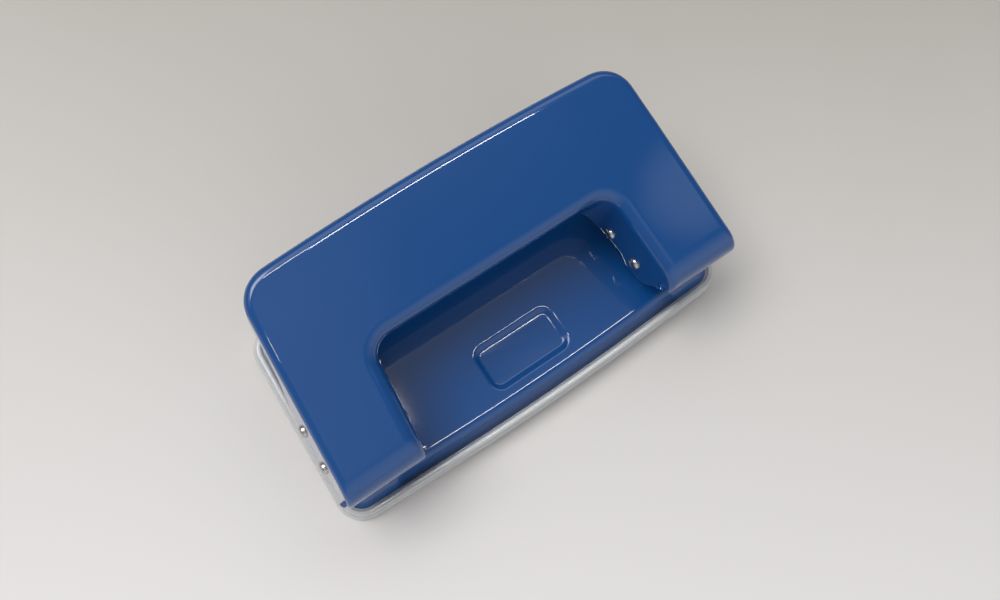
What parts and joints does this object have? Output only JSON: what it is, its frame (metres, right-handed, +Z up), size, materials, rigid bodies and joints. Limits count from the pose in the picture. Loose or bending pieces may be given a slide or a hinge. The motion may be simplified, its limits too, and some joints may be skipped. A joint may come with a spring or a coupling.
{
  "type": "two-hole desk punch",
  "caption": "Small desk punch for paper: pressed steel handle with a leg over each round cutter, riveted brackets on a steel base, and a clear chip tray that pulls off below.",
  "frame": {"origin": "on the table, under the middle of the two holes", "axes": "+X to the right seen from the front, +Y to the rear along the paper's way in, +Z up"},
  "size_m": [0.1066, 0.0541, 0.0379],
  "materials": {
    "blue_enamel": "glossy stoved enamel",
    "clear_plastic": "clear moulded polystyrene",
    "zinc_plate": "bright zinc plating",
    "bright_steel": "nickel plated, domed ends",
    "tool_steel": "ground and hardened",
    "spring_wire": "drawn spring wire"
  },
  "bodies": {
    "base": {"base_plate": "blue_enamel", "bracket_left": "zinc_plate", "bracket_right": "zinc_plate", "die_left": "tool_steel", "die_right": "tool_steel", "rivet_left_inner": "bright_steel", "rivet_left_outer": "bright_steel", "rivet_right_inner": "bright_steel", "rivet_right_outer": "bright_steel"},
    "handle": {"handle": "blue_enamel", "pivot_pin_left": "bright_steel", "pivot_pin_right": "bright_steel", "drive_pin_left": "bright_steel", "drive_pin_right": "bright_steel", "return_spring_left": "spring_wire", "return_spring_right": "spring_wire", "pivot_spacer_left": "zinc_plate", "pivot_spacer_right": "zinc_plate", "pivot_washer_left": "zinc_plate", "pivot_washer_right": "zinc_plate"},
    "cutter_left": {"cutter_left": "tool_steel"},
    "cutter_right": {"cutter_right": "tool_steel"},
    "chip_tray": {"chip_tray": "clear_plastic"}
  },
  "joints": [
    {"name": "handle_press", "type": "hinge", "parent": "base", "child": "handle", "pos_m": [0, -0.00843, 0.0164], "axis": [-1, 0, 0], "range_deg": [0, 24], "stiffness_Nm_per_rad": 0.27, "springref_deg": -12.61, "deforming": ["return_spring_left", "return_spring_right"]},
    {"name": "cutter_left_drop", "type": "slide", "parent": "base", "child": "cutter_left", "axis": [0, 0, -1], "range_m": [0, 0.00358]},
    {"name": "cutter_right_drop", "type": "slide", "parent": "base", "child": "cutter_right", "axis": [0, 0, -1], "range_m": [0, 0.00358]},
    {"name": "tray_pull", "type": "slide", "parent": "base", "child": "chip_tray", "axis": [0, 0, -1], "range_m": [0, 0.02]}
  ],
  "couplings": [
    {"joint": "cutter_left_drop", "follows": "handle_press", "m_per_rad": 0.008542},
    {"joint": "cutter_right_drop", "follows": "handle_press", "m_per_rad": 0.008542}
  ]
}
